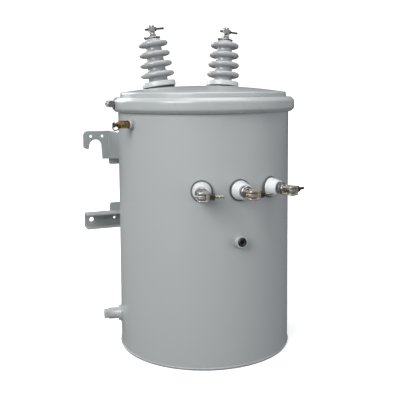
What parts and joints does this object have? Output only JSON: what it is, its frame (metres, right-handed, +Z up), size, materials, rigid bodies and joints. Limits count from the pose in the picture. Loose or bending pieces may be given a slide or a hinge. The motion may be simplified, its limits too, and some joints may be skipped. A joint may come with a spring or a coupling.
{
  "type": "pole mounted transformer",
  "caption": "Round painted oil tank with a clamped domed cover, leaning ribbed high voltage bushings, white low voltage bushings with clamps, relief valve, drain and pole hangers",
  "frame": {"origin": "centre of the tank's underside, where the tank's axis meets the level that it stands on", "axes": "+Z up along the tank's axis, +Y towards the pole and the hangers, -Y towards the low voltage bushings, +X to the right seen from the low voltage side"},
  "size_m": [0.621, 0.663, 0.9823],
  "materials": {
    "tank_paint": "light grey gloss enamel over rolled steel",
    "bracket_paint": "light grey enamel over bent plate",
    "galvanised": "dull hot-dip galvanised steel",
    "hv_porcelain": "sky grey glazed porcelain",
    "lv_porcelain": "white glazed porcelain",
    "clamp_ring_metal": "light grey cast ring",
    "tinned_metal": "tin plated bronze, slightly dull",
    "olive_bronze": "dull olive bronze casting",
    "copper_bronze": "bare coppery bronze casting",
    "stud_metal": "dark threaded bronze",
    "bolt_steel": "zinc plated steel",
    "valve_brass": "aged brass with dark patina",
    "black_rubber": "black nitrile rubber",
    "black_iron": "black oxide pipe plug",
    "dark_wire": "dark steel wire",
    "core_steel": null
  },
  "bodies": {
    "root": {"tank_shell": "tank_paint", "tank_bottom": "tank_paint", "core_and_coil": "core_steel", "cover": "tank_paint", "cover_band": "tank_paint", "band_bolt": "bolt_steel", "hv_gasket_left": "black_rubber", "hv_gasket_right": "black_rubber", "hv_bushing_left": "hv_porcelain", "hv_bushing_right": "hv_porcelain", "hv_clamp_ring_left": "clamp_ring_metal", "hv_clamp_ring_right": "clamp_ring_metal", "hv_cap_left": "tinned_metal", "hv_cap_right": "tinned_metal", "hv_terminal_left": "tinned_metal", "hv_terminal_right": "tinned_metal", "hv_stud_left": "stud_metal", "hv_stud_right": "stud_metal", "lv_gasket_left": "black_rubber", "lv_gasket_middle": "black_rubber", "lv_gasket_right": "black_rubber", "lv_bushing_left": "lv_porcelain", "lv_bushing_middle": "lv_porcelain", "lv_bushing_right": "lv_porcelain", "lv_nut_left": "bolt_steel", "lv_nut_middle": "bolt_steel", "lv_nut_right": "bolt_steel", "lv_terminal_left": "tinned_metal", "lv_terminal_middle": "copper_bronze", "lv_terminal_right": "olive_bronze", "lv_stud_left": "stud_metal", "lv_stud_middle": "stud_metal", "lv_stud_right": "stud_metal", "level_boss": "tank_paint", "level_plug": "black_iron", "relief_boss": "tank_paint", "relief_valve": "valve_brass", "relief_pull_ring": "dark_wire", "drain_pipe": "tank_paint", "drain_plug": "tank_paint", "upper_plate": "bracket_paint", "hook_bracket_left": "bracket_paint", "hook_bracket_right": "bracket_paint", "lower_plate": "bracket_paint", "lower_channel": "galvanised"}
  },
  "joints": []
}
